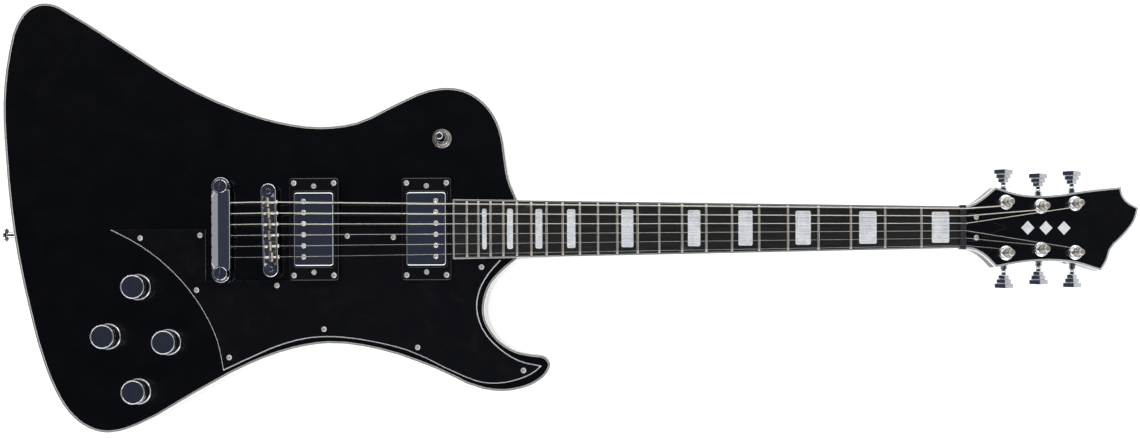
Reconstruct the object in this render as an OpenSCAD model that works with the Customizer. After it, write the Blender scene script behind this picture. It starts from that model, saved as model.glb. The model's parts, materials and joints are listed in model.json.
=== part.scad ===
// Solid-body electric guitar with a set neck, lying on its back.
// Origin: back face of the body, on the centreline, under the bridge line.
// +X towards the headstock, +Y towards the bass side, +Z towards the strings. Millimetres.

/* [Scale and strings] */
// Sounding length, nut to bridge line
scale_len = 628.65; // [610:0.05:648]
// Frets on the fretboard
fret_count = 22; // [20:1:24]
// Distance between the outer strings at the nut
nut_spread = 34; // [32:0.5:38]
// Distance between the outer strings at the bridge
bridge_spread = 50.4; // [48:0.2:54]
// Underside of the strings above the body at the bridge
string_rise = 13.8; // [12:0.1:17]
// Radius of the fretboard camber
camber_r = 305; // [240:5:400]
// Radius of each string, bass to treble
string_r = [0.58, 0.46, 0.35, 0.24, 0.18, 0.14];

/* [Body] */
// Body thickness
body_t = 45; // [38:0.5:50]
// Width of the edge binding on the face
binding_w = 2.6; // [1.5:0.1:4]
// Depth of the edge binding down the side
binding_t = 7; // [4:0.5:10]
// Where the neck leaves the body
joint_x = 222; // [200:1:240]
// Guard thickness
guard_t = 2.2; // [1.5:0.1:3.5]
// Width of the guard's bevelled edge
guard_bevel = 0.9; // [0.4:0.1:2]

/* [Neck and fretboard] */
// Backward lean of the neck
neck_angle = 0.8; // [0:0.1:3]
// Bridge-side end of the fretboard
board_end_x = 163.5; // [155:0.5:175]
// Top of the fretboard above the body at that end
board_rise = 8; // [6:0.5:12]
// Fretboard thickness on the centreline
board_t = 6; // [5:0.5:7]
// Fretboard width at the nut
nut_w = 38.8; // [36:0.1:43]
// Fretboard width at the bridge-side end
board_end_w = 55; // [52:0.5:58]
// Fretboard binding width
edge_w = 1.6; // [1:0.1:2.5]
// Nut length along the neck
nut_len = 5.5; // [4:0.5:7]
// Neck depth behind the fretboard at the nut
neck_depth_nut = 15; // [12:0.5:18]
// Neck depth behind the fretboard at the heel
neck_depth_heel = 18; // [15:0.5:22]

/* [Headstock and tuners] */
// Backward lean of the headstock from the body plane
head_angle = 9.3; // [5:0.1:17]
// Headstock thickness
head_t = 13.5; // [12:0.5:16]
// Tuner stations along the head, from its start
tuner_x = [40.3, 75, 109];
// Tuner stations off the centreline
tuner_y = [23.5, 20, 22.8];
// Post radius
post_r = 3; // [2.5:0.1:3.5]
// Distance between the post axis and the worm axis
worm_offset = 6.6; // [6:0.1:8]

/* [Hardware] */
// Knob positions on the body
knob_at = [[-129, -52], [-157, -97.6], [-101, -103], [-129, -148.5]];
// Knob top radius
knob_r = 11; // [8:0.5:13]
// Knob height
knob_h = 17; // [12:0.5:22]
// Pickup centres along the body
pickup_x = [35.7, 139]; // bridge, neck
// Pickup ring heights
ring_h = [8, 5];
// Pickup cover tops above the body
cover_rise = [9.9, 8.3];
// Bridge turned to follow the string compensation
bridge_slant = 1.7; // [0:0.1:3]
// Saddle setbacks from the middle of the bridge
saddle_set = [-1.6, -0.8, 0, -0.9, -0.2, 0.6];
// Tailpiece centre
tail_x = -49.6; // [-60:0.1:-40]
// Distance between the tailpiece studs
stud_gap = 80; // [74:1:84]
// Toggle switch position
toggle_at = [153, 84];
// Lean of the toggle lever
toggle_lean = 0; // [-12:1:12]

/* [Hidden] */
$fn = 48;
e = 0.01;
clear = 0.3;
run = 0.05;
board_end_z = body_t + board_rise;
board_len = (scale_len - board_end_x) / cos(neck_angle);
head_drop = 4.2;
head_x = board_end_x + (board_len + nut_len) * cos(neck_angle);
head_z = board_end_z - (board_len + nut_len) * sin(neck_angle) - head_drop;
veneer_t = 2;
head_bind_t = 4;
head_bind_w = 1.8;
lacquer = [0.03, 0.03, 0.035];
cream = [0.9, 0.88, 0.78];
nickel = [0.72, 0.72, 0.74];
dark_plastic = [0.08, 0.08, 0.09];
pearl = [0.8, 0.82, 0.84];

// Fret wire
fret_w = 2.4;
fret_h = 1.1;
tang_w = 0.6;
tang_t = 2.8;

// Inlay blocks: fret number and block length
inlay_fret = [1, 3, 5, 7, 9, 12, 15, 17, 19, 21];
inlay_len = [16, 16, 14, 13, 11.5, 11, 7.7, 6.3, 5.4, 4.1];
inlay_w = [28, 38];
inlay_t = 2.5;
inlay_corner = 1.5;
ornament_x = [62, 80, 98];
ornament_r = 6.5;

// Small cross-head screw used for all the trim
screw_r = 1.2;
screw_head_r = 2.6;
screw_head_h = 0.9;
screw_len = 12;
slot_w = 0.6;

guard_screw_at = [
    [-126.7, -6.7], [-71.2, -4.3], [-74.5, -55], [0, -51], [43.5, -91.5], [-44.5, -117.3],
    [65.3, -5.6], [108, -7], [130, -108.6], [189.3, -34.8], [227.6, -130.2]
];

// Pickups
ring_size = [45.5, 94.3];
ring_open = [37.8, 69.4];
cover_size = [36.6, 68];
cover_h = 14;
cover_wall = 0.5;
cover_corner = 3;
pole_pitch = 10.2;
pole_side = 9;
pole_r = 2.3;
pole_stand = 0.6;
ring_screw_at = [18.4, 42.4];
height_screw_y = 39.6;
height_screw_r = 1.3;
pickup_y = 0.4;
plate_t = 1.2;

// Bridge
bridge_at = [-4.5, -0.5];
post_gap = 71.6;
bridge_w = 14;
bridge_z = body_t + 5.5;
bridge_h = 6;
channel_half = 5.3;
saddle_len = 4;
saddle_w = 8.6;
saddle_screw_r = 1.1;
saddle_screw_z = bridge_z + 3.8;
string_z = body_t + string_rise;

// Tailpiece
tail_w = 16.8;
tail_z = body_t + 4;
tail_mid = 72;
tail_hole_z = tail_z + 4;
wrap_step = 20;
wrap_turn = 900;
stud_neck_r = 3.2;
stud_r = 6.35;
stud_slot_turn = 84;

// Knobs, pots and switch
cap_t = 7;
cavity_r = 17;
cover_lip = 6;
cover_t = 2;
cover_inset = 1;
shaft_r = 3;
pot_r = 12;
pot_h = 9;
toggle_pivot_z = body_t - 2.5;
toggle_pin_r = 1;
toggle_cavity_r = 18;

// Output jack on the lower side of the body
jack_at = [-226, -95];
jack_turn = 194.7;
jack_r = 9.5;
jack_bore_r = 3.25;
jack_flange_r = 12;
mid_z = body_t / 2;

// Strap buttons
strap_tail = [-246.9, -2, 22.5];
strap_heel_turn = 151;
strap_len = 16;
strap_waist_r = 4;
strap_seat_r = 6.9;

body_edge = [
    [222, 28.5], [215, 47], [212, 66], [209, 86], [203.5, 102], [195.5, 114], [185.5, 123],
    [172.5, 129.5], [157, 131.6], [141, 129.5], [110, 116.7], [74, 100], [40, 95.9], [0, 101.5],
    [-38, 113.5], [-90, 138], [-141, 170.5], [-193, 203.5], [-206, 210.5], [-219, 212],
    [-232, 206.5], [-242.6, 192], [-250, 165], [-255, 120], [-253, 70], [-246, 0], [-231, -75],
    [-220.5, -114.5], [-207.5, -148], [-195, -168], [-181.5, -180], [-164, -186.8],
    [-148, -186], [-130, -180], [-78, -151.4], [-26, -124], [14, -110], [47, -105], [94, -111],
    [146, -128.7], [190, -147.8], [208, -149.8], [224, -147.7], [239, -142], [249.5, -133],
    [252.6, -124], [248, -117.4], [236.5, -115.3], [221, -112], [207.5, -104], [197.5, -92.5],
    [192, -79], [192.5, -66], [198, -51], [208, -39.5], [222, -27.5]
];
guard_left = [
    [-180, 13], [-155, 1], [-127, -14], [-102.5, -33], [-82, -55], [-66.5, -78.5], [-56, -102],
    [-50.3, -129.7]
];
guard_low = [
    [-50.3, -129.7], [-25, -118], [1, -107], [27, -100.2], [47.5, -98.8], [68, -100.2],
    [94, -104.6], [120, -111.4], [172, -135.5], [187.5, -141], [204, -142.2], [223.5, -138.5],
    [239, -131], [244.4, -126]
];
guard_right = [
    [244.4, -126], [223.7, -121], [205.6, -109.5], [190, -91], [185, -72], [187.7, -56],
    [195.4, -42], [207.7, -28], [222, -14]
];
head_edge_a = [[0.5, 19.4], [9.5, 22.3], [17.5, 27.2], [30.4, 37.5]];
head_edge_b = [[30.4, 37.5], [51.6, 31.6], [73, 29.8], [93, 31], [120, 35], [155.6, 38.8]];
head_edge_c = [[155.6, 38.8], [156.4, 33], [160, 27], [173, 19.4]];
head_edge_d = [[173, 19.4], [169, 7], [158, -6.6], [144.4, -20.4], [141.2, -30], [134.8, -39.8]];
head_edge_e = [[134.8, -39.8], [109, -32.6], [82, -30.6], [55.5, -32.4], [30.8, -36.6]];
head_edge_f = [[30.8, -36.6], [18.4, -25.4], [9.5, -20.9], [0.5, -19.4]];
cover_half = [[1.6, 13], [13, 12.2], [22, 7.6], [30, 3.8], [39, 1.2]];

// ---------- curves and frames ----------

// Direction of the circle through three neighbouring points of a path
function mid_dir(p, i) =
    let (a = p[i] - p[i - 1], b = p[i + 1] - p[i])
    let (v = a * norm(b) / norm(a) + b * norm(a) / norm(b))
    v / norm(v);
function end_dir(p, i, j) = (p[j] - p[i]) / norm(p[j] - p[i]);
function dir_at(p, i) =
    i == 0 ? end_dir(p, 0, 1) :
    i == len(p) - 1 ? end_dir(p, i - 1, i) : mid_dir(p, i);
function between(p, i, u) =
    let (d = norm(p[i + 1] - p[i]))
    p[i] * (2 * u * u * u - 3 * u * u + 1) + dir_at(p, i) * d * (u * u * u - 2 * u * u + u)
    + p[i + 1] * (3 * u * u - 2 * u * u * u) + dir_at(p, i + 1) * d * (u * u * u - u * u);
// Smooth open curve through the points, without its last point
function smooth(p, n = 3) = [for (i = [0:len(p) - 2], k = [0:n - 1]) between(p, i, k / n)];
function mirrored(p) = [for (i = [len(p) - 1:-1:0]) [p[i][0], -p[i][1]]];

function leaned(p, a) = [p[0] * cos(a) + p[2] * sin(a), p[1], p[2] * cos(a) - p[0] * sin(a)];
function neck_pt(p) = [board_end_x, 0, board_end_z] + leaned(p, neck_angle);
function head_pt(p) = [head_x, 0, head_z] + leaned(p, head_angle);
function half_board(x) = (board_end_w + (nut_w - board_end_w) * x / board_len) / 2;
function fret_x(n) = board_len - scale_len * (1 - pow(2, -n / 12));
function camber(y) = sqrt(camber_r * camber_r - y * y) - camber_r;
function string_y(i, spread) = spread / 2 - i * spread / 5;

module in_neck() {
    translate([board_end_x, 0, board_end_z])
        rotate([0, neck_angle, 0])
            children();
}

module in_head() {
    translate([head_x, 0, head_z])
        rotate([0, head_angle, 0])
            children();
}

module on_bridge() {
    translate([bridge_at[0], bridge_at[1], 0])
        rotate([0, 0, bridge_slant])
            children();
}

// Flat block with four round corners, centred in plan
module slab(size, h, r) {
    translate([-size[0] / 2, r - size[1] / 2, 0])
        cube([size[0], size[1] - 2 * r, h]);
    translate([r - size[0] / 2, -size[1] / 2, 0])
        cube([size[0] - 2 * r, size[1], h]);
    for (sx = [-1, 1], sy = [-1, 1])
        translate([sx * (size[0] / 2 - r), sy * (size[1] / 2 - r), 0])
            cylinder(h = h, r = r);
}

// Round bar from one point to another
module strand(a, b, r) {
    d = b - a;
    translate(a)
        rotate([0, acos(d[2] / norm(d)), atan2(d[1], d[0])])
            cylinder(h = norm(d), r = r);
}

module trim_screw() {
    difference() {
        union() {
            cylinder(h = screw_head_h, r1 = screw_head_r, r2 = screw_head_r - 0.8);
            translate([0, 0, -screw_len])
                cylinder(h = screw_len + e, r = screw_r);
        }
        for (turn = [0, 90])
            rotate([0, 0, turn])
                translate([-1.4, -slot_w / 2, 0.35])
                    cube([2.8, slot_w, screw_head_h]);
    }
}

module trim_hole() {
    translate([0, 0, -screw_len])
        cylinder(h = screw_len + guard_t, r = screw_r);
}

// ---------- places shared by several pieces ----------

module at_guard_screws() {
    for (p = guard_screw_at)
        translate([p[0], p[1], body_t + guard_t])
            children();
}

module at_ring_screws(i) {
    for (sx = [-1, 1], sy = [-1, 1])
        translate([pickup_x[i] + sx * ring_screw_at[0], pickup_y + sy * ring_screw_at[1],
            body_t + ring_h[i]])
            children();
}

module at_rear_screws() {
    reach = cavity_r + cover_lip / 2;
    for (i = [0:3], a = [[90, 180, 0, 270][i]])
        translate([knob_at[i][0] + reach * cos(a), knob_at[i][1] + reach * sin(a), cover_inset])
            rotate([180, 0, 0])
                children();
    for (a = [30, 150, 270])
        translate([toggle_at[0] + (toggle_cavity_r + cover_lip / 2) * cos(a),
            toggle_at[1] + (toggle_cavity_r + cover_lip / 2) * sin(a), cover_inset])
            rotate([180, 0, 0])
                children();
}

module at_truss_screws() {
    for (s = [-1, 1])
        in_head()
            translate([10.5, s * 9.5, veneer_t])
                children();
}

module at_tuner(i, side) {
    in_head()
        translate([tuner_x[i], side * tuner_y[i], 0])
            rotate([0, 0, side > 0 ? 0 : 180])
                children();
}

module at_tuner_screws() {
    for (i = [0:2], side = [-1, 1])
        at_tuner(i, side)
            translate([-side * 9, -4, -head_t - 3])
                rotate([180, 0, 0])
                    children();
}

module at_knob(i) {
    translate([knob_at[i][0], knob_at[i][1], 0])
        children();
}

module at_studs() {
    for (s = [-1, 1])
        translate([tail_x, s * stud_gap / 2, 0])
            children();
}

module at_bridge_posts() {
    for (s = [-1, 1])
        on_bridge()
            translate([0, s * post_gap / 2, 0])
                children();
}

module at_jack() {
    translate([jack_at[0], jack_at[1], mid_z])
        rotate([0, 90, jack_turn])
            children();
}

module at_strap_tail() {
    translate(strap_tail)
        rotate([0, -90, 0])
            children();
}

module at_strap_heel() {
    translate([243.2, 0, 20.9])
        rotate([0, strap_heel_turn, 0])
            children();
}

// ---------- body and trim ----------

module body_shape() {
    polygon(concat(smooth(body_edge), [body_edge[len(body_edge) - 1]]));
}

module control_shape(r) {
    offset(r = r)
        polygon([knob_at[0], knob_at[1], knob_at[3], knob_at[2]]);
}

module body() {
    color(lacquer)
        difference() {
            linear_extrude(height = body_t)
                body_shape();
            difference() {
                translate([0, 0, body_t - binding_t])
                    linear_extrude(height = binding_t + 1)
                        offset(delta = 1)
                            body_shape();
                translate([0, 0, body_t - binding_t - 1])
                    linear_extrude(height = binding_t + 3)
                        offset(delta = -binding_w)
                            body_shape();
                translate([joint_x - 8, -26.4, 0])
                    cube([16, 52.8, body_t + 1]);
            }
            for (i = [0, 1])
                pickup_cavity(i);
            translate([board_end_x, -20, mid_z])
                cube([joint_x - board_end_x + 1, 40, body_t]);
            translate([0, 0, -1])
                linear_extrude(height = body_t - cap_t + 1)
                    control_shape(cavity_r);
            translate([0, 0, -1])
                linear_extrude(height = cover_inset + cover_t + 1)
                    control_shape(cavity_r + cover_lip);
            translate([toggle_at[0], toggle_at[1], -1]) {
                cylinder(h = body_t - cap_t + 1, r = toggle_cavity_r);
                cylinder(h = cover_inset + cover_t + 1, r = toggle_cavity_r + cover_lip);
                cylinder(h = body_t + 2, r = 6.1);
            }
            for (i = [0:3])
                at_knob(i)
                    cylinder(h = body_t + 1, r = 4.9);
            at_bridge_posts()
                translate([0, 0, body_t - 18])
                    cylinder(h = 19, r = 2.5);
            at_studs()
                translate([0, 0, body_t - 20])
                    cylinder(h = 21, r = 4);
            wire_channels();
            at_guard_screws() trim_hole();
            for (i = [0, 1])
                at_ring_screws(i) trim_hole();
            at_rear_screws() trim_hole();
            at_strap_tail()
                translate([0, 0, -22])
                    cylinder(h = 22 + 1, r = 2);
            at_jack() {
                translate([0, 0, -60])
                    cylinder(h = 60, r = jack_r + 0.1);
                translate([0, 0, -0.6])
                    cylinder(h = 10, r = jack_flange_r + 0.2);
            }
        }
}

module pickup_cavity(i) {
    translate([pickup_x[i], pickup_y, body_t - 20]) {
        slab([39.6, 72], 21, 3);
        slab([14, 89], 21, 3);
    }
}

module wire_channels() {
    strand([-101, -103, 31], [pickup_x[0], 0, 31], 4);
    strand([pickup_x[0], 0, 31], [pickup_x[1], 0, 31], 4);
    strand([pickup_x[1], 10, 31], [toggle_at[0], toggle_at[1], 31], 4);
}

module body_binding() {
    color(cream)
        translate([0, 0, body_t - binding_t])
            linear_extrude(height = binding_t)
                difference() {
                    body_shape();
                    offset(delta = -binding_w)
                        body_shape();
                    translate([joint_x - 8, -26.4])
                        square([16, 52.8]);
                }
}

module guard_blank() {
    polygon(concat(smooth(guard_left), smooth(guard_low), smooth(guard_right),
        [[222, -14], [222, 30], [-180, 30]]));
}

module guard_trim() {
    difference() {
        polygon([[-200, 1], [-66.5, 1], [-66.5, -46.5], [20, -46.5], [20, 1], [145, 1],
            [145, -28.4], [230, -28.4], [260, -160], [-200, -160]]);
        for (i = [0, 1])
            translate([pickup_x[i], pickup_y])
                square([ring_size[0] + 2 * clear, ring_size[1] + 2 * clear], center = true);
    }
}

module pickguard() {
    color(lacquer)
        difference() {
            translate([0, 0, body_t])
                union() {
                    linear_extrude(height = 0.8)
                        intersection() {
                            guard_blank();
                            guard_trim();
                        }
                    linear_extrude(height = guard_t)
                        intersection() {
                            offset(delta = -guard_bevel)
                                guard_blank();
                            guard_trim();
                        }
                }
            at_guard_screws() trim_hole();
        }
}

module control_cover() {
    color(dark_plastic)
        difference() {
            translate([0, 0, cover_inset])
                linear_extrude(height = cover_t)
                    control_shape(cavity_r + cover_lip - clear);
            at_rear_screws() trim_hole();
        }
}

module switch_cover() {
    color(dark_plastic)
        difference() {
            translate([toggle_at[0], toggle_at[1], cover_inset])
                cylinder(h = cover_t, r = toggle_cavity_r + cover_lip - clear);
            at_rear_screws() trim_hole();
        }
}

module trim_screws() {
    color(nickel) {
        at_guard_screws() trim_screw();
        for (i = [0, 1])
            at_ring_screws(i) trim_screw();
        at_rear_screws() trim_screw();
        at_truss_screws() trim_screw();
        at_tuner_screws() trim_screw();
    }
}

// ---------- neck, fretboard and head ----------

module board_shape(inset) {
    polygon([[inset, half_board(0) - inset], [board_len, half_board(board_len) - inset],
        [board_len, inset - half_board(board_len)], [inset, inset - half_board(0)]]);
}

// Thin slice of the neck shaft: flat against the fretboard, round behind it
module neck_slice(x, depth) {
    w = half_board(x);
    translate([x, 0, -board_t])
        rotate([90, 0, 90])
            linear_extrude(height = 0.2)
                polygon([for (a = [180:9:360]) [w * cos(a), depth * sin(a)]]);
}

// Outline of the headstock face, cut square behind the nut
module head_shape(inset) {
    intersection() {
        offset(delta = -inset)
            polygon(concat([[-6, 19.4]], smooth(head_edge_a), smooth(head_edge_b),
                smooth(head_edge_c), smooth(head_edge_d), smooth(head_edge_e),
                smooth(head_edge_f), [[0.5, -19.4], [-6, -19.4]]));
        translate([0.5, -50])
            square([200, 100]);
    }
}

module head_holes() {
    for (i = [0:2], side = [-1, 1])
        translate([tuner_x[i], side * tuner_y[i], -head_t - 1])
            cylinder(h = head_t + 2, r = 4.6);
    translate([-3, -5, -12])
        cube([27, 10, 13]);
}

module neck_blank() {
    intersection() {
        in_neck()
            translate([0, 0, -board_t - 3])
                linear_extrude(height = 3)
                    board_shape(0);
        translate([0, -50, body_t])
            cube([joint_x + 1, 100, 50]);
    }
    translate([board_end_x, -20, mid_z])
        cube([joint_x - board_end_x + 1, 40, body_t - mid_z + 0.8]);
    in_neck()
        hull() {
            neck_slice(joint_x - board_end_x + 0.7, neck_depth_heel);
            neck_slice(board_len + nut_len - 0.2, neck_depth_nut);
        }
    hull() {
        translate([joint_x, -26.4, 12])
            cube([0.5, 52.8, 34]);
        in_neck() neck_slice(104, neck_depth_heel - 0.6);
    }
    hull() {
        in_neck() neck_slice(board_len - 14, neck_depth_nut);
        in_head()
            translate([12, -19, -head_t])
                cube([1, 38, head_t - head_bind_t]);
    }
    in_head() {
        translate([0, 0, -head_t])
            linear_extrude(height = head_t - head_bind_t)
                head_shape(0);
        translate([0, 0, -head_bind_t - e])
            linear_extrude(height = head_bind_t - veneer_t + e)
                head_shape(head_bind_w);
    }
}

module neck() {
    color(lacquer)
        difference() {
            neck_blank();
            in_neck()
                translate([30, -3, -14.5])
                    cube([board_len + nut_len - 28, 6, 14.5 - board_t]);
            in_head() head_holes();
            at_truss_screws() trim_hole();
            at_tuner_screws() trim_hole();
            at_strap_heel() {
                translate([0, 0, -14])
                    cylinder(h = 15, r = 2);
                cylinder(h = 6, r = strap_seat_r);
            }
        }
}

module head_veneer() {
    color(lacquer)
        difference() {
            in_head()
                translate([0, 0, -veneer_t])
                    linear_extrude(height = veneer_t)
                        head_shape(head_bind_w);
            in_head() head_holes();
            at_truss_screws() trim_hole();
            ornaments(1);
        }
}

module head_binding() {
    color(cream)
        in_head()
            translate([0, 0, -head_bind_t])
                linear_extrude(height = head_bind_t)
                    difference() {
                        head_shape(0);
                        head_shape(head_bind_w);
                    }
}

module camber_bar(lift) {
    translate([-20, 0, -camber_r])
        rotate([0, 90, 0])
            cylinder(h = board_len + 60, r = camber_r + lift, $fn = 360);
}

module fret_slabs(w, z0, h) {
    for (n = [1:fret_count])
        translate([fret_x(n) - w / 2, edge_w - half_board(fret_x(n)), z0])
            cube([w, 2 * (half_board(fret_x(n)) - edge_w), h]);
}

module inlay_blocks(h) {
    for (i = [0:len(inlay_fret) - 1]) {
        mid = (fret_x(inlay_fret[i]) + fret_x(inlay_fret[i] - 1)) / 2;
        w = inlay_w[0] + (inlay_w[1] - inlay_w[0]) * (1 - mid / board_len);
        translate([mid, 0, -inlay_t])
            linear_extrude(height = h)
                offset(r = inlay_corner, $fn = 16)
                    square([inlay_len[i] - 2 * inlay_corner, w - 2 * inlay_corner], center = true);
    }
}

module ornaments(h) {
    for (x = ornament_x)
        in_head()
            translate([x, 0, -1])
                cylinder(h = h, r = ornament_r, $fn = 4);
}

module fretboard() {
    color(dark_plastic)
        in_neck()
            difference() {
                intersection() {
                    translate([0, 0, -board_t])
                        linear_extrude(height = board_t + 1)
                            board_shape(edge_w);
                    camber_bar(0);
                }
                fret_slabs(tang_w, -tang_t, 5);
                inlay_blocks(inlay_t + 3);
            }
}

module fretboard_binding() {
    color(cream)
        in_neck()
            intersection() {
                translate([0, 0, -board_t])
                    linear_extrude(height = board_t + 1)
                        difference() {
                            board_shape(0);
                            board_shape(edge_w);
                        }
                camber_bar(0);
            }
}

module frets() {
    color(nickel)
        in_neck() {
            difference() {
                intersection() {
                    fret_slabs(fret_w, -3, 5);
                    camber_bar(fret_h);
                }
                camber_bar(0);
            }
            intersection() {
                fret_slabs(tang_w, -tang_t, 5);
                camber_bar(fret_h / 2);
            }
        }
}

module inlays() {
    color(pearl) {
        in_neck()
            intersection() {
                inlay_blocks(inlay_t + 3);
                camber_bar(0);
            }
        ornaments(1);
    }
}

module nut() {
    color(dark_plastic)
        in_neck()
            difference() {
                intersection() {
                    translate([board_len, -20.3, -board_t])
                        cube([nut_len, 40.6, board_t + 2.2]);
                    camber_bar(2);
                }
                for (i = [0:5])
                    translate([board_len - 1, string_y(i, nut_spread) - string_r[i] - 0.1,
                        camber(string_y(i, nut_spread)) + 1.2])
                        cube([nut_len + 2, 2 * string_r[i] + 0.2, 4]);
            }
}

module truss_rod() {
    color(nickel)
        in_neck() {
            translate([32, 0, -11.2])
                rotate([0, 90, 0])
                    cylinder(h = board_len - 22, r = 2.4);
            translate([board_len + 9, 0, -11.2])
                rotate([0, 90, 0])
                    cylinder(h = 11, r = 3.4, $fn = 6);
        }
}

module truss_rod_cover() {
    half = concat(smooth(cover_half), [cover_half[len(cover_half) - 1]]);
    color(lacquer)
        difference() {
            in_head()
                linear_extrude(height = veneer_t)
                    polygon(concat(half, mirrored(half)));
            at_truss_screws() trim_hole();
        }
}

// ---------- pickups ----------

module pickup_ring(i) {
    color(dark_plastic)
        difference() {
            translate([pickup_x[i], pickup_y, body_t])
                difference() {
                    slab(ring_size, ring_h[i], 3);
                    translate([0, 0, -1])
                        slab(ring_open, ring_h[i] + 2, cover_corner);
                    for (s = [-1, 1])
                        translate([0, s * height_screw_y, -1])
                            cylinder(h = ring_h[i] + 2, r = height_screw_r + run);
                }
            at_ring_screws(i) trim_hole();
        }
}

module pole_row(i) {
    side = i == 0 ? -1 : 1;
    for (k = [-2.5:1:2.5])
        translate([pickup_x[i] + side * pole_side, pickup_y + k * pole_pitch,
            body_t + cover_rise[i]])
            children();
}

module pickup_cover(i) {
    color(nickel)
        difference() {
            translate([pickup_x[i], pickup_y, body_t + cover_rise[i] - cover_h])
                difference() {
                    slab(cover_size, cover_h, cover_corner);
                    translate([0, 0, -1])
                        slab(cover_size - 2 * [cover_wall, cover_wall], cover_h + 1 - cover_wall,
                            cover_corner - cover_wall);
                }
            pole_row(i)
                translate([0, 0, -2])
                    cylinder(h = 4, r = pole_r + run);
        }
}

module pickup_coils(i) {
    color(dark_plastic)
        difference() {
            translate([pickup_x[i], pickup_y, body_t + cover_rise[i] - cover_h]) {
                for (s = [-1, 1])
                    translate([s * pole_side, 0, -e])
                        slab([16.8, 65], cover_h - 1, 8.3);
                translate([0, 0, -plate_t])
                    slab(cover_size, plate_t, cover_corner);
                translate([0, 0, -plate_t])
                    slab([11, 2 * height_screw_y + 7], plate_t, 3);
            }
            pole_row(i)
                translate([0, 0, -cover_h - 5])
                    cylinder(h = cover_h + 6, r = 1.5);
            pole_row(i)
                translate([0, 0, -2.4])
                    cylinder(h = 4, r = pole_r + run);
            for (s = [-1, 1])
                translate([pickup_x[i], pickup_y + s * height_screw_y, body_t - 10])
                    cylinder(h = 10, r = height_screw_r);
        }
}

module pole_screws() {
    color(nickel)
        for (i = [0, 1])
            pole_row(i)
                difference() {
                    union() {
                        translate([0, 0, -2.2])
                            cylinder(h = 2.2 + pole_stand, r = pole_r);
                        translate([0, 0, -cover_h - 4])
                            cylinder(h = cover_h + 3, r = 1.5);
                    }
                    translate([-pole_r, -slot_w / 2, pole_stand - 0.7])
                        cube([2 * pole_r, slot_w, 1]);
                }
}

module height_screws() {
    color(nickel)
        for (i = [0, 1], s = [-1, 1])
            translate([pickup_x[i], pickup_y + s * height_screw_y, body_t + ring_h[i]])
                difference() {
                    union() {
                        cylinder(h = 1.4, r1 = 2.5, r2 = 2);
                        translate([0, 0, -ring_h[i] - 10])
                            cylinder(h = ring_h[i] + 10, r = height_screw_r);
                    }
                    translate([-3, -slot_w / 2, 0.7])
                        cube([6, slot_w, 1]);
                }
}

module bridge_pickup_ring() pickup_ring(0);
module neck_pickup_ring() pickup_ring(1);
module bridge_pickup_cover() pickup_cover(0);
module neck_pickup_cover() pickup_cover(1);
module bridge_pickup_coils() pickup_coils(0);
module neck_pickup_coils() pickup_coils(1);

// ---------- bridge, tailpiece and strings ----------

module bridge_base() {
    color(nickel)
        difference() {
            on_bridge()
                translate([0, 0, bridge_z])
                    difference() {
                        union() {
                            translate([-bridge_w / 2, -36, 0])
                                cube([bridge_w, 72, bridge_h]);
                            for (s = [-1, 1])
                                translate([0, s * 36, 0])
                                    cylinder(h = bridge_h, r = bridge_w / 2);
                        }
                        translate([-channel_half, -30.5, 2])
                            cube([2 * channel_half, 61, bridge_h]);
                    }
            at_bridge_posts()
                translate([0, 0, bridge_z - 1])
                    cylinder(h = bridge_h + 2, r = 2.6);
            for (i = [0:5])
                at_saddle_screw(i)
                    cylinder(h = 40, r = saddle_screw_r, center = true);
        }
}

module at_saddle_screw(i) {
    on_bridge()
        translate([0, string_y(i, bridge_spread) - bridge_at[1], saddle_screw_z])
            rotate([0, 90, 0])
                children();
}

module bridge_posts() {
    color(nickel)
        at_bridge_posts() {
            translate([0, 0, body_t - 18])
                cylinder(h = bridge_z + bridge_h - body_t + 18, r = 2.5);
            translate([0, 0, bridge_z - 2])
                cylinder(h = 2, r = 5.5);
        }
}

module saddle_screws() {
    color(nickel)
        for (i = [0:5])
            at_saddle_screw(i)
                difference() {
                    union() {
                        translate([0, 0, -bridge_w / 2])
                            cylinder(h = bridge_w, r = saddle_screw_r);
                        translate([0, 0, bridge_w / 2])
                            cylinder(h = 1.3, r = 1.8);
                    }
                    translate([-2, -slot_w / 2, bridge_w / 2 + 0.7])
                        cube([4, slot_w, 1]);
                }
}

module saddle(i) {
    y = string_y(i, bridge_spread);
    apex = string_z + camber(y) - clear;
    color(nickel)
        on_bridge()
            translate([saddle_set[i], y - bridge_at[1], 0])
                difference() {
                    translate([0, saddle_w / 2, 0])
                        rotate([90, 0, 0])
                            linear_extrude(height = saddle_w)
                                polygon([[-saddle_len / 2, bridge_z + 2 + clear],
                                    [saddle_len / 2, bridge_z + 2 + clear],
                                    [saddle_len / 2, bridge_z + bridge_h - 0.4], [0.4, apex],
                                    [-0.4, apex], [-saddle_len / 2, bridge_z + bridge_h - 0.4]]);
                    translate([0, 0, saddle_screw_z])
                        rotate([0, 90, 0])
                            cylinder(h = 2 * saddle_len, r = saddle_screw_r + run, center = true);
                }
}

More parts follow.
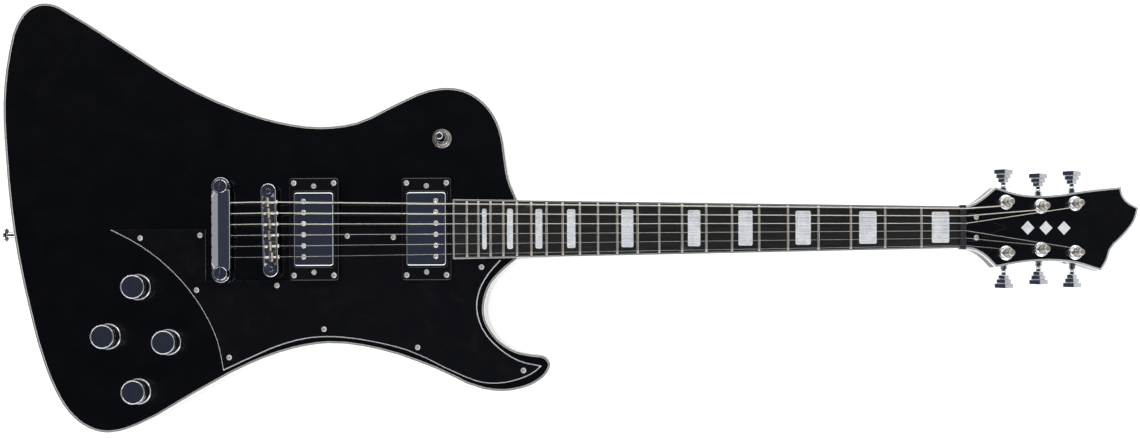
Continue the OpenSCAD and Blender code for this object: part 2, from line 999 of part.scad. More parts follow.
module tailpiece() {
    color(nickel)
        difference() {
            union() {
                translate([tail_x, tail_mid / 2, tail_z])
                    rotate([90, 0, 0])
                        linear_extrude(height = tail_mid)
                            polygon([[-tail_w / 2, 0], [tail_w / 2, 0], [tail_w / 2, 6.3],
                                [-1, 10], [-tail_w / 2, 6.3]]);
                at_studs()
                    translate([0, 0, tail_z])
                        cylinder(h = 6.3, r = tail_w / 2);
            }
            at_studs() {
                cylinder(h = body_t, r = stud_neck_r + 0.1);
                translate([0, -stud_neck_r - 0.1, tail_z - 1])
                    cube([tail_w, 2 * stud_neck_r + 0.2, 12]);
                translate([0, 0, tail_z + 6.3])
                    cylinder(h = 6, r = stud_r + 0.4);
                translate([0, 0, tail_z - 1])
                    cylinder(h = 12, r = stud_neck_r + 0.1);
            }
            for (i = [0:5])
                translate([tail_x, string_y(i, bridge_spread), tail_hole_z])
                    rotate([0, 90, 0]) {
                        cylinder(h = 2 * tail_w, r = 1.7, center = true);
                        translate([0, 0, -tail_w])
                            cylinder(h = tail_w - 3.5, r = 2.6);
                    }
        }
}

module tailpiece_studs() {
    color(nickel)
        at_studs()
            difference() {
                union() {
                    translate([0, 0, body_t - 20])
                        cylinder(h = 20 + tail_z + 6.3 - body_t, r = stud_neck_r);
                    translate([0, 0, body_t - 20])
                        cylinder(h = 20, r = 4);
                    translate([0, 0, body_t])
                        cylinder(h = tail_z - body_t, r = stud_r);
                    translate([0, 0, tail_z + 6.3])
                        cylinder(h = 2.4, r = stud_r);
                }
                rotate([0, 0, stud_slot_turn])
                    translate([-8, -slot_w, tail_z + 7.7])
                        cube([16, 2 * slot_w, 3]);
            }
}

// Centreline of one string and its radius at each point: ball end, saddle, nut, post wraps
function string_run(i) =
    let (r = string_r[i])
    let (ys = string_y(i, bridge_spread), yn = string_y(i, nut_spread))
    let (side = i < 3 ? 1 : -1, k = i < 3 ? i : 5 - i)
    let (wrap_r = post_r - 0.05 + r, nut_z = camber(yn) + 1.25 + r, wrap_z = 5.4 + r)
    [
        [[tail_x - 6.5, ys, tail_hole_z], 2.2],
        [[tail_x - 3.8, ys, tail_hole_z], 2.2],
        [[tail_x - 3.5, ys, tail_hole_z], r],
        [[tail_x + tail_w / 2, ys, tail_hole_z], r],
        [[bridge_at[0] - 3.4 - ys * sin(bridge_slant), ys, string_z + camber(ys) + r], r],
        [neck_pt([board_len, yn, nut_z]), r],
        [neck_pt([board_len + nut_len, yn, nut_z]), r],
        for (turn = [0:wrap_step:wrap_turn])
            [head_pt([tuner_x[k] + wrap_r * sin(turn), side * (tuner_y[k] - wrap_r * cos(turn)),
                wrap_z + turn / 360 * 2.1 * r]), r]
    ];

// Round bar of changing radius swept along a path
module swept(run) {
    last = len(run) - 1;
    up = [sin(head_angle), 0, cos(head_angle)];
    rings = [for (j = [0:last])
        let (v = run[min(j + 1, last)][0] - run[max(j - 1, 0)][0])
        let (s = cross(v, up) / norm(cross(v, up)))
        let (w = cross(s, v) / norm(v))
        for (a = [0:45:315]) run[j][0] + run[j][1] * (cos(a) * s + sin(a) * w)];
    sides = [for (j = [0:last - 1], a = [0:7])
        let (b = (a + 1) % 8)
        each [[8 * j + a, 8 * j + b, 8 * j + 8 + b], [8 * j + a, 8 * j + 8 + b, 8 * j + 8 + a]]];
    polyhedron(rings, concat([[for (a = [7:-1:0]) a]], sides, [[for (a = [0:7]) 8 * last + a]]));
}

module wound_strings() {
    color(cream)
        for (i = [0:2])
            swept(string_run(i));
}

module plain_strings() {
    color(nickel)
        for (i = [3:5])
            swept(string_run(i));
}

// ---------- controls, jack and strap buttons ----------

module pots() {
    color(nickel)
        for (i = [0:3])
            at_knob(i)
                difference() {
                    union() {
                        translate([0, 0, body_t - cap_t - pot_h])
                            cylinder(h = pot_h, r = pot_r);
                        translate([0, 0, body_t - cap_t - e])
                            cylinder(h = cap_t + 4, r = 4.7);
                        translate([0, 0, body_t])
                            cylinder(h = 2.2, r = 7.4, $fn = 6);
                    }
                    translate([0, 0, body_t - cap_t - pot_h + 1])
                        cylinder(h = body_t, r = shaft_r + run);
                }
}

module knob(i) {
    base = body_t + 0.6;
    color(nickel)
        at_knob(i) {
            difference() {
                union() {
                    translate([0, 0, base])
                        cylinder(h = 2.4, r = knob_r + 1);
                    translate([0, 0, base])
                        cylinder(h = knob_h - 1, r1 = knob_r + 0.5, r2 = knob_r);
                    translate([0, 0, base + knob_h - 1])
                        cylinder(h = 1, r1 = knob_r, r2 = knob_r - 1);
                }
                translate([0, 0, base - 1])
                    cylinder(h = 7, r = 8.6);
            }
            translate([0, 0, body_t - cap_t - pot_h + 1.4])
                cylinder(h = 24, r = shaft_r);
        }
}

module toggle_switch() {
    color(nickel)
        translate([toggle_at[0], toggle_at[1], 0])
            difference() {
                union() {
                    translate([-11, -8, body_t - cap_t - 2])
                        cube([22, 16, 2]);
                    for (s = [-1, 1])
                        translate([s * 9.5 - 1.5, -8, body_t - cap_t - 18])
                            cube([3, 16, 17]);
                    translate([0, 0, body_t - cap_t - e])
                        cylinder(h = cap_t + 3.5, r = 5.9);
                    translate([0, 0, body_t])
                        cylinder(h = 1.2, r = 9);
                    translate([0, 0, body_t])
                        cylinder(h = 3, r = 7.4);
                }
                translate([0, 0, body_t - cap_t - 3])
                    cylinder(h = cap_t + 10, r = 3.4);
                translate([0, 0, toggle_pivot_z])
                    rotate([0, 90, 0])
                        cylinder(h = 11.4, r = toggle_pin_r + run, center = true);
            }
}

module toggle_lever() {
    color(dark_plastic)
        translate([toggle_at[0], toggle_at[1], toggle_pivot_z])
            rotate([toggle_lean, 0, 0]) {
                rotate([0, 90, 0])
                    cylinder(h = 11, r = toggle_pin_r, center = true);
                translate([0, 0, -12])
                    cylinder(h = 12, r = 1.2);
                sphere(r = 2.2);
                cylinder(h = 16, r = 1.5);
                translate([0, 0, 12])
                    cylinder(h = 9, r1 = 2.2, r2 = 3.2);
                translate([0, 0, 21])
                    sphere(r = 3.25);
            }
}

module output_jack() {
    color(nickel)
        at_jack()
            difference() {
                union() {
                    translate([0, 0, -0.6])
                        cylinder(h = 1.8, r = jack_flange_r);
                    translate([0, 0, -28])
                        cylinder(h = 28, r = jack_r);
                    cylinder(h = 3.4, r = 6.6, $fn = 6);
                }
                translate([0, 0, -26])
                    cylinder(h = 32, r = jack_bore_r);
            }
}

module strap_button() {
    rotate_extrude()
        polygon([[0, -20], [2, -20], [2, 0], [6.5, 0], [6.5, 2], [strap_waist_r, 4],
            [strap_waist_r, 12], [7, 14], [7, 15.4], [6, strap_len], [0, strap_len]]);
}

module strap_buttons() {
    color(nickel) {
        at_strap_tail() strap_button();
        intersection() {
            at_strap_heel() strap_button();
            at_strap_heel()
                translate([0, 0, -13])
                    cylinder(h = 40, r = 10);
        }
    }
}

// ---------- tuners ----------

module tuner_housings() {
    depth = 9.5;
    axis_z = -head_t - 4.8;
    color(nickel)
        for (i = [0:2], side = [-1, 1])
            difference() {
                at_tuner(i, side)
                    difference() {
                        union() {
                            translate([side * 2.1, 0.5, -head_t - depth])
                                slab([17, 19], depth, 3);
                            translate([side * worm_offset, 9, axis_z])
                                rotate([-90, 0, 0])
                                    cylinder(h = 6, r = 4);
                            translate([-side * 9, -4, -head_t - 3])
                                cylinder(h = 3, r = 3.4);
                            translate([side > 0 ? -9 : 0, -7.4, -head_t - 3])
                                cube([9, 6.8, 3]);
                        }
                        translate([0, 0, -head_t - depth + 1.5])
                            cylinder(h = depth, r = 4.7);
                        translate([side * worm_offset, -6, axis_z])
                            rotate([-90, 0, 0])
                                cylinder(h = 12, r = 2.4);
                        translate([side * worm_offset, 0, axis_z])
                            rotate([-90, 0, 0])
                                cylinder(h = 20, r = 2 + run);
                    }
                at_tuner_screws() trim_hole();
            }
}

module tuner_bushings() {
    color(nickel)
        for (i = [0:2], side = [-1, 1])
            at_tuner(i, side)
                difference() {
                    union() {
                        cylinder(h = 1.4, r = 6.9);
                        cylinder(h = 4, r = 5.9, $fn = 6);
                        translate([0, 0, -9])
                            cylinder(h = 10, r = 4.6);
                    }
                    translate([0, 0, -10])
                        cylinder(h = 20, r = post_r + run);
                }
}

module post(i, side) {
    color(nickel)
        at_tuner(i, side)
            difference() {
                union() {
                    translate([0, 0, -head_t - 7.6])
                        cylinder(h = head_t + 12.6, r = post_r);
                    translate([0, 0, -head_t - 7.2])
                        cylinder(h = 5.4, r = 4.2);
                    cylinder(h = 12, r = post_r - 0.4);
                    translate([0, 0, 9.5])
                        cylinder(h = 2.7, r = post_r);
                    translate([0, 0, 12.2])
                        cylinder(h = 0.8, r1 = post_r, r2 = post_r - 0.6);
                }
                translate([0, 0, 7.2])
                    rotate([0, 90, 0])
                        cylinder(h = 4 * post_r, r = 0.8, center = true);
            }
}

module key(i, side) {
    axis_z = -head_t - 4.8;
    color(nickel)
        at_tuner(i, side)
            translate([side * worm_offset, 0, axis_z]) {
                rotate([-90, 0, 0]) {
                    translate([0, 0, -5])
                        cylinder(h = 27, r = 2);
                    translate([0, 0, 15.4])
                        cylinder(h = 5, r = 3);
                }
                translate([-5.25, 20, -2.5])
                    cube([10.5, 4, 5]);
                translate([-7.25, 23.7, -2.9])
                    cube([14.5, 4.3, 5.8]);
                translate([-9.4, 27.7, -3.3])
                    cube([18.8, 5, 6.6]);
            }
}

// ---------- one line per piece ----------

body();
body_binding();
pickguard();
control_cover();
switch_cover();
trim_screws();
neck();
head_veneer();
head_binding();
fretboard();
fretboard_binding();
frets();
inlays();
nut();
truss_rod();
truss_rod_cover();
bridge_pickup_ring();
neck_pickup_ring();
bridge_pickup_cover();
neck_pickup_cover();
bridge_pickup_coils();
neck_pickup_coils();
pole_screws();
height_screws();
bridge_base();
bridge_posts();
saddle_screws();
tailpiece();
tailpiece_studs();
wound_strings();
plain_strings();
pots();
toggle_switch();
output_jack();
strap_buttons();
tuner_housings();
tuner_bushings();
knob(0);  // knob_upper
knob(1);  // knob_left
knob(2);  // knob_right
knob(3);  // knob_lower
toggle_lever();
saddle(0);  // saddle_1
saddle(1);  // saddle_2
saddle(2);  // saddle_3
saddle(3);  // saddle_4
saddle(4);  // saddle_5
saddle(5);  // saddle_6
post(0, 1);  // post_1
post(1, 1);  // post_2
post(2, 1);  // post_3
post(2, -1);  // post_4
post(1, -1);  // post_5
post(0, -1);  // post_6
key(0, 1);  // key_1
key(1, 1);  // key_2
key(2, 1);  // key_3
key(2, -1);  // key_4
key(1, -1);  // key_5
key(0, -1);  // key_6
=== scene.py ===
import json
import math

import bmesh
import bpy
from mathutils import Matrix, Vector


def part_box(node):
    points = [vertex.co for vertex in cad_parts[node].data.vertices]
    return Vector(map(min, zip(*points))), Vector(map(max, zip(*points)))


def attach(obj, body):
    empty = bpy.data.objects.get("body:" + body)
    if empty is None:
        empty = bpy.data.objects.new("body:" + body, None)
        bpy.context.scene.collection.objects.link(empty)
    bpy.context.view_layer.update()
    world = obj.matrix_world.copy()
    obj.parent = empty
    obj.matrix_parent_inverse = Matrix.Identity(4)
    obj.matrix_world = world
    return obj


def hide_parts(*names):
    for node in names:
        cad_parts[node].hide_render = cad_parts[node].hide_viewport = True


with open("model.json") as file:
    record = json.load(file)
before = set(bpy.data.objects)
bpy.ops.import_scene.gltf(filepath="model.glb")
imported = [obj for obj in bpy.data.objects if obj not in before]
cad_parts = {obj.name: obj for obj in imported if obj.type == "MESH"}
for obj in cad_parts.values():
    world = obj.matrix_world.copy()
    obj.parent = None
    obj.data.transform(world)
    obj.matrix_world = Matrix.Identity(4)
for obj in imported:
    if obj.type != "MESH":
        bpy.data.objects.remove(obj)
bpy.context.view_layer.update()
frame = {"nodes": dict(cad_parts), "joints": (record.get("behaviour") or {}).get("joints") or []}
nodes = frame["nodes"]
joints = {joint["name"]: joint for joint in frame["joints"]}

# Shapes are worked out in millimetres and scaled when their vertices are made.
# Shading, floor and lamps are in metres.
MM = 0.001

# Places and sizes that the pieces share with the CAD.
BODY_TOP = 45
GUARD_LEDGE = BODY_TOP + 0.8
KNOB_FOOT = BODY_TOP + 0.6
BOARD_ORIGIN = Vector((163.5, 0, 53))
BOARD_LEAN = math.radians(0.8)
SCALE_LENGTH = 628.65
BOARD_LENGTH = (SCALE_LENGTH - BOARD_ORIGIN.x) / math.cos(BOARD_LEAN)
BOARD_WIDTHS = (55, 38.8)
BOARD_EDGE = 1.6
FRETS = 22
STRINGS = 6
CAMBER_RADIUS = 305
HEAD_LEAN = math.radians(9.3)
KEY_JOINT_REACH = 26


# ---------- shading ----------

def set_stops(elements, stops):
    while len(elements) < len(stops):
        elements.new(1.0)
    for element, (position, colour) in zip(elements, stops):
        element.position = position
        element.color = (*colour, 1.0)


class Finish:
    """One Principled material whose colour, roughness and relief come from nodes."""

    def __init__(self, name, **fixed):
        self.material = bpy.data.materials.new(name)
        self.material.use_nodes = True
        self.tree = self.material.node_tree
        self.shader = self.tree.nodes["Principled BSDF"]
        for socket, value in fixed.items():
            self.shader.inputs[socket.replace("_", " ")].default_value = value
        self.place = self.tree.nodes.new("ShaderNodeTexCoord").outputs["Object"]

    def node(self, kind, inputs, **settings):
        made = self.tree.nodes.new("ShaderNode" + kind)
        for name, value in settings.items():
            setattr(made, name, value)
        for name, value in inputs.items():
            if isinstance(value, bpy.types.NodeSocket):
                self.tree.links.new(value, made.inputs[name])
            else:
                made.inputs[name].default_value = value
        return made

    def stretched(self, scale):
        return self.node("Mapping", {"Vector": self.place, "Scale": scale}).outputs["Vector"]

    def noise(self, scale, detail, stretch=(1, 1, 1), distortion=0.0):
        inputs = {"Vector": self.stretched(stretch), "Scale": scale, "Detail": detail,
                  "Distortion": distortion}
        return self.node("TexNoise", inputs).outputs["Fac"]

    def cells(self, scale, stretch):
        inputs = {"Vector": self.stretched(stretch), "Scale": scale}
        return self.node("TexVoronoi", inputs).outputs["Color"]

    def spread(self, value, low, high, start=0.3, end=0.7):
        inputs = {"Value": value, "From Min": start, "From Max": end, "To Min": low, "To Max": high}
        return self.node("MapRange", inputs).outputs["Result"]

    def maths(self, operation, a, b):
        return self.node("Math", {0: a, 1: b}, operation=operation).outputs["Value"]

    def ramp(self, value, *stops):
        made = self.node("ValToRGB", {"Fac": value})
        set_stops(made.color_ramp.elements, stops)
        return made.outputs["Color"]

    def mix(self, share, a, b):
        made = self.node("Mix", {0: share, 6: a, 7: b}, data_type="RGBA")
        return made.outputs[2]

    # Mask of faces that point up; the bindings use it to place painted shade on their tops.
    def facing_up(self, start, end):
        normal = self.node("NewGeometry", {}).outputs["Normal"]
        height = self.node("SeparateXYZ", {"Vector": normal}).outputs["Z"]
        return self.spread(height, 0.0, 1.0, start, end)

    def height(self):
        return self.node("SeparateXYZ", {"Vector": self.place}).outputs["Z"]

    def relief(self, height, distance, strength):
        inputs = {"Height": height, "Distance": distance, "Strength": strength}
        self.put("Normal", self.node("Bump", inputs).outputs["Normal"])

    def put(self, socket, output):
        self.tree.links.new(output, self.shader.inputs[socket])


def lacquer():
    made = Finish("black_lacquer", Coat_Weight=1.0, Coat_Roughness=0.025, Specular_IOR_Level=0.25)
    cloud = made.noise(7, 3)
    made.put("Base Color", made.ramp(cloud, (0.35, (0.0010, 0.0010, 0.0012)),
                                     (0.7, (0.0013, 0.0013, 0.0016))))
    made.put("Roughness", made.spread(made.noise(40, 8, distortion=0.6), 0.22, 0.30))
    made.relief(made.noise(260, 2), 0.00001, 0.2)
    return made.material


def guard():
    """Black sheet whose thin ledge shows the light ply below."""
    made = Finish("guard_plastic", Coat_Weight=0.7, Coat_Roughness=0.05, Specular_IOR_Level=0.4)
    cloud = made.noise(11, 4)
    face = made.ramp(cloud, (0.3, (0.0030, 0.0029, 0.0037)), (0.75, (0.0040, 0.0038, 0.0048)))
    edge = made.ramp(made.noise(300, 3), (0.3, (0.82, 0.84, 0.86)), (0.7, (0.92, 0.93, 0.93)))
    upper = made.spread(made.height(), 0.0, 1.0, (GUARD_LEDGE + 0.04) * MM, (GUARD_LEDGE + 0.08) * MM)
    made.put("Base Color", made.mix(upper, edge, face))
    made.put("Roughness", made.spread(made.noise(55, 9, distortion=0.8), 0.12, 0.3))
    made.relief(made.noise(420, 3), 0.00002, 0.3)
    return made.material


def binding(name, flat, side):
    """Edge strip with one tone where it faces up and another down its side; the upward tone is painted
    shade on the cream plastic, the side tone is its own colour.
    """
    made = Finish(name, Coat_Weight=0.5, Coat_Roughness=0.08)
    tint = made.noise(14, 5)
    # The upward tone is painted shade: the cream plastic drawn grey-blue, as if lit only by the dark
    # ceiling.
    top = made.ramp(tint, (0.3, tuple(0.88 * c for c in flat)), (0.7, flat))
    aged = (side[0] * 0.98, side[1] * 0.95, side[2] * 0.84)
    edge = made.ramp(tint, (0.3, side), (0.75, aged))
    # Faces that point up get the painted shade; the sides keep the plastic's own cream.
    made.put("Base Color", made.mix(made.facing_up(0.86, 0.97), edge, top))
    made.put("Roughness", made.spread(made.noise(90, 6), 0.22, 0.42))
    made.relief(made.noise(700, 3), 0.00002, 0.3)
    return made.material


def board_wood():
    made = Finish("fretboard_wood", Specular_IOR_Level=0.38)
    grain = made.noise(9, 8, (1, 26, 26), 0.4)
    streak = made.noise(60, 6, (1, 30, 30))
    tone = made.maths("ADD", made.maths("MULTIPLY", grain, 0.6), made.maths("MULTIPLY", streak, 0.4))
    made.put("Base Color", made.ramp(tone, (0.32, (0.0070, 0.0066, 0.0066)),
                                     (0.52, (0.0125, 0.0118, 0.0116)), (0.72, (0.022, 0.0205, 0.0196))))
    made.put("Roughness", made.spread(streak, 0.36, 0.56))
    made.relief(streak, 0.00006, 0.5)
    return made.material


def metal(name, colour, smooth, rough, smudge=60.0, relief=0.0, metallic=1.0):
    made = Finish(name, Metallic=metallic)
    haze = made.noise(smudge, 7, distortion=0.5)
    dull = tuple(0.93 * c for c in colour)
    made.put("Base Color", made.ramp(haze, (0.3, dull), (0.62, colour)))
    made.put("Roughness", made.spread(made.noise(smudge * 1.7, 9), smooth, rough))
    if relief:
        made.relief(made.noise(900, 3), 0.00003, relief)
    return made.material


def wire(name, colour, smooth, rough, pitch_mm, relief):
    """String metal with windings or drawing marks that run round the X axis."""
    made = Finish(name, Metallic=0.85)
    along = made.node("SeparateXYZ", {"Vector": made.place}).outputs["X"]
    turn = made.maths("MULTIPLY", along, 2 * math.pi / (pitch_mm * MM))
    ridge = made.node("Math", {0: turn}, operation="SINE").outputs["Value"]
    haze = made.noise(120, 6)
    made.put("Base Color", made.ramp(haze, (0.3, tuple(0.86 * c for c in colour)), (0.7, colour)))
    made.put("Roughness", made.spread(haze, smooth, rough))
    made.relief(ridge, 0.00002, relief)
    return made.material


def pearl():
    made = Finish("pearl", Coat_Weight=0.8, Coat_Roughness=0.06)
    swirl = made.noise(130, 5, (1, 1, 1), 2.2)
    flakes = made.cells(210, (1, 0.6, 1))
    light = made.node("SeparateXYZ", {"Vector": flakes}).outputs["X"]
    tone = made.maths("ADD", made.maths("MULTIPLY", swirl, 0.65), made.maths("MULTIPLY", light, 0.3))
    made.put("Base Color", made.ramp(tone, (0.25, (0.70, 0.75, 0.82)), (0.5, (0.86, 0.88, 0.90)),
                                     (0.72, (0.95, 0.95, 0.93))))
    made.put("Roughness", made.spread(swirl, 0.18, 0.36))
    made.relief(swirl, 0.00003, 0.4)
    return made.material


def plastic(name, colour, smooth, rough, grain=500.0, relief=0.3, coat=0.0):
    made = Finish(name, Specular_IOR_Level=0.5, Coat_Weight=coat, Coat_Roughness=0.04)
    cloud = made.noise(25, 5)
    made.put("Base Color", made.ramp(cloud, (0.3, tuple(0.8 * c for c in colour)), (0.7, colour)))
    made.put("Roughness", made.spread(made.noise(70, 8), smooth, rough))
    made.relief(made.noise(grain, 3), 0.00005, relief)
    return made.material


def satin_lacquer():
    made = Finish("neck_lacquer", Coat_Weight=0.6, Coat_Roughness=0.08, Specular_IOR_Level=0.35)
    cloud = made.noise(9, 4)
    made.put("Base Color", made.ramp(cloud, (0.35, (0.0010, 0.0010, 0.0012)),
                                     (0.7, (0.0026, 0.0026, 0.0031))))
    made.put("Roughness", made.spread(made.noise(30, 8, (1, 3, 3)), 0.2, 0.4))
    made.relief(made.noise(200, 3), 0.00003, 0.35)
    return made.material


FINISHES = {
    "lacquer": lacquer(),
    "neck": satin_lacquer(),
    "guard": guard(),
    # Each binding's first colour is painted shade on its top face; the second is the plastic's own colour
    # down its side.
    "body_binding": binding("body_binding_plastic", (0.26, 0.285, 0.295), (0.88, 0.87, 0.83)),
    "board_binding": binding("board_binding_plastic", (0.29, 0.325, 0.35), (0.80, 0.80, 0.78)),
    "board": board_wood(),
    "head_binding": binding("head_binding_plastic", (0.50, 0.53, 0.54), (0.78, 0.78, 0.75)),
    "fret": metal("fret_metal", (0.82, 0.77, 0.68), 0.32, 0.42, 90, metallic=0.92),
    "pearl": pearl(),
    "nut": plastic("nut_graphite", (0.024, 0.026, 0.031), 0.35, 0.5),
    "chrome": metal("chrome", (0.80, 0.81, 0.83), 0.035, 0.09),
    "nickel": metal("nickel", (0.84, 0.80, 0.72), 0.12, 0.24, 80),
    "screw": metal("screw_metal", (0.97, 0.94, 0.86), 0.22, 0.32, 80, metallic=0.6),
    "post": metal("post_nickel", (0.90, 0.86, 0.77), 0.3, 0.4, 80, metallic=0.9),
    "steel": metal("steel", (0.55, 0.55, 0.56), 0.25, 0.42, 120, 0.2),
    "brass": metal("brass_saddle", (0.62, 0.55, 0.45), 0.16, 0.3, 140),
    "switch": metal("switch_nickel", (0.50, 0.47, 0.42), 0.16, 0.28, 90),
    "ring": plastic("ring_plastic", (0.0050, 0.0048, 0.0056), 0.08, 0.18, 300, 0.1, 0.8),
    "cover": plastic("cover_plastic", (0.010, 0.010, 0.011), 0.38, 0.55, 1200, 0.6),
    "coil": plastic("coil_plastic", (0.012, 0.011, 0.011), 0.4, 0.6),
    "wound": wire("string_wound", (0.72, 0.68, 0.60), 0.36, 0.48, 0.32, 0.3),
    "plain": wire("string_plain", (0.52, 0.51, 0.48), 0.34, 0.44, 2.0, 0.05),
}


# ---------- geometry ----------

# Points of a CAD mesh closer than this are one point, and faces within this angle are one face.
SAME_POINT = 2e-6
FLAT_ANGLE = math.radians(0.4)

# Edges sharper than this many degrees are softened on a CAD node and on a finer shape.
CAD_EDGE = 30
SHAPED_EDGE = 50

# An edge this close to a level lies on it, and one shorter than ROUND_STEP belongs to a round rim.
LEVEL_SLACK = 0.03
ROUND_STEP = 2


def show(name, mesh, finish, body):
    """A new piece from a mesh in metres, in the row frame."""
    made = bpy.data.objects.new(name, mesh)
    bpy.context.scene.collection.objects.link(made)
    mesh.materials.clear()
    mesh.materials.append(FINISHES[finish])
    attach(made, body)
    return made


def mesh_from(work, name, smooth=True):
    mesh = bpy.data.meshes.new(name)
    work.to_mesh(mesh)
    work.free()
    for face in mesh.polygons:
        face.use_smooth = smooth
    return mesh


def soften(piece, width, segments, angle):
    """Rounds every edge sharper than the angle and evens the shading."""
    if width:
        bevel = piece.modifiers.new("edges", "BEVEL")
        bevel.width = width * MM
        bevel.segments = segments
        bevel.limit_method = "ANGLE"
        bevel.angle_limit = math.radians(angle)
        bevel.use_clamp_overlap = True
        bevel.miter_outer = "MITER_ARC"
    shading = piece.modifiers.new("shading", "WEIGHTED_NORMAL")
    shading.keep_sharp = True
    shading.weight = 80


def dress(node, finish, width, segments=2):
    """Gives a CAD node its finish, and rounds its edges with modifiers only."""
    piece = nodes[node]
    piece.data.materials.clear()
    piece.data.materials.append(FINISHES[finish])
    for face in piece.data.polygons:
        face.use_smooth = True
    weld = piece.modifiers.new("join", "WELD")
    weld.merge_threshold = SAME_POINT
    flat = piece.modifiers.new("flat_faces", "DECIMATE")
    flat.decimate_type = "DISSOLVE"
    flat.angle_limit = FLAT_ANGLE
    soften(piece, width, segments, CAD_EDGE)


def clean_copy(node):
    """The CAD node as an editable bmesh, with its flat faces joined."""
    work = bmesh.new()
    work.from_mesh(nodes[node].data)
    bmesh.ops.remove_doubles(work, verts=work.verts, dist=SAME_POINT)
    bmesh.ops.dissolve_limit(work, angle_limit=FLAT_ANGLE, verts=work.verts, edges=work.edges)
    return work


def reach(edge):
    return edge.calc_length() / MM


def steep(edge, angle=35):
    return len(edge.link_faces) == 2 and edge.calc_face_angle(0) > math.radians(angle)


def middle(edge):
    return (edge.verts[0].co + edge.verts[1].co) / 2 / MM


def on_level(edge, level):
    return all(abs(v.co.z / MM - level) < LEVEL_SLACK for v in edge.verts)


def wide_loops(edges, span):
    """The edges of every connected group that is wider than the span in mm."""
    left, kept = set(edges), []
    while left:
        group, queue = [], [left.pop()]
        while queue:
            edge = queue.pop()
            group.append(edge)
            for vert in edge.verts:
                for other in vert.link_edges:
                    if other in left:
                        left.remove(other)
                        queue.append(other)
        points = [v.co for edge in group for v in edge.verts]
        if max((point - points[0]).length for point in points) / MM > span:
            kept += group
    return kept


def round_over(work, edges, width, segments=3):
    bmesh.ops.bevel(work, geom=list(edges), offset=width * MM, offset_type="OFFSET", segments=segments,
                    profile=0.5, affect="EDGES", clamp_overlap=False)


def swap(work, name, node, finish, softened=0.0, body="instrument"):
    """Shows a finer shape in place of its CAD node, on the same body."""
    piece = show(name, mesh_from(work, name), finish, body)
    soften(piece, softened, 1, SHAPED_EDGE)
    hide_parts(node)


def rounded_rims(node, name, finish, rims, softened=0.0):
    """Shows the node with its rims rounded; a rim is (level, least span, width, segments)."""
    work = clean_copy(node)
    for level, span, width, segments in rims:
        edges = [edge for edge in work.edges if steep(edge) and on_level(edge, level)]
        round_over(work, wide_loops(edges, span), width, segments)
    swap(work, name, node, finish, softened)


def lathe(work, profile, place, around, shape=None):
    """Turns (radius, height) points about the Z axis of a placed frame, closed where they meet it."""
    rings = []
    for radius, height in profile:
        ring = []
        for i in range(around if radius else 1):
            turn = 2 * math.pi * i / around
            out = shape(turn, radius, height) if shape else radius
            point = Vector((out * math.cos(turn), out * math.sin(turn), height)) * MM
            ring.append(work.verts.new(place @ point))
        rings.append(ring)
    for low, high in zip(rings, rings[1:]):
        for i in range(around):
            j = (i + 1) % around
            corners = [low[i % len(low)], low[j % len(low)], high[j % len(high)], high[i % len(high)]]
            face = list(dict.fromkeys(corners))
            if len(face) > 2:
                work.faces.new(face)


def frame_at(origin_mm, x_axis, y_axis, z_axis):
    made = Matrix.Identity(4)
    for column, axis in enumerate((x_axis, y_axis, z_axis)):
        for row in range(3):
            made[row][column] = axis[row]
    made.translation = Vector(origin_mm) * MM
    return made


def hexagon(corner, turn):
    """Distance from the middle of a hexagon to its side in one direction."""
    step = math.radians(60)
    return corner * math.cos(step / 2) / math.cos(turn % step - step / 2)


# ---------- body ----------

rounded_rims("body", "body_shell", "lacquer", [(0, 300, 4, 5)], 0.25)
rounded_rims("body_binding", "body_binding_rounded", "body_binding",
             [(BODY_TOP, 300, 1.1, 4)])
dress("pickguard", "guard", 0.12, 1)
dress("control_cover", "cover", 0.4)
dress("switch_cover", "cover", 0.4)
dress("trim_screws", "screw", 0.1, 1)
dress("output_jack", "chrome", 0.35)
dress("strap_buttons", "chrome", 0.3)


# ---------- neck and head ----------

dress("neck", "neck", 0.4)
dress("head_veneer", "lacquer", 0.05, 1)
dress("head_binding", "head_binding", 0.35)
dress("fretboard", "board", 0.05, 1)
dress("fretboard_binding", "board_binding", 0.35)
dress("inlays", "pearl", 0.03, 1)
dress("nut", "nut", 0.35)
dress("truss_rod", "steel", 0.1)
dress("truss_rod_cover", "lacquer", 0.3)


def fret_place(number):
    return BOARD_LENGTH - SCALE_LENGTH * (1 - 2 ** (-number / 12))


def board_half_width(x):
    start, end = BOARD_WIDTHS
    return (start + (end - start) * x / BOARD_LENGTH) / 2


def make_frets():
    """Crowned wire on each slot, following the camber, with dressed ends."""
    half_width, crown, flank, seat = 1.1, 1.1, 0.25, 0.03
    end_size, end_slope = 0.35, 0.5
    stations = 13
    work = bmesh.new()
    board = frame_at(BOARD_ORIGIN, *Matrix.Rotation(BOARD_LEAN, 3, "Y").transposed())
    for number in range(1, FRETS + 1):
        x = fret_place(number)
        half = board_half_width(x) - BOARD_EDGE
        rows = []
        for k in range(-1, stations + 1):
            share = min(max(k, 0), stations - 1) / (stations - 1) * 2 - 1
            size = end_size if k in (-1, stations) else 1.0
            y = share * (half if size < 1 else half - end_slope)
            low = math.sqrt(CAMBER_RADIUS ** 2 - y * y) - CAMBER_RADIUS
            row = [(-half_width, low + seat)]
            for degrees in range(180, -1, -20):
                turn = math.radians(degrees)
                rise = flank + (crown - flank) * math.sin(turn)
                row.append((half_width * math.cos(turn), low + size * rise))
            row.append((half_width, low + seat))
            rows.append([work.verts.new(board @ (Vector((x + px, y, pz)) * MM)) for px, pz in row])
        for a, b in zip(rows, rows[1:]):
            for i in range(len(a)):
                j = (i + 1) % len(a)
                work.faces.new((a[i], a[j], b[j], b[i]))
        work.faces.new(rows[0])
        work.faces.new(rows[-1][::-1])
    bmesh.ops.recalc_face_normals(work, faces=work.faces)
    swap(work, "fret_wire", "frets", "fret")


make_frets()


# ---------- pickups, bridge, tailpiece ----------

def top_of(node):
    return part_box(node)[1].z / MM


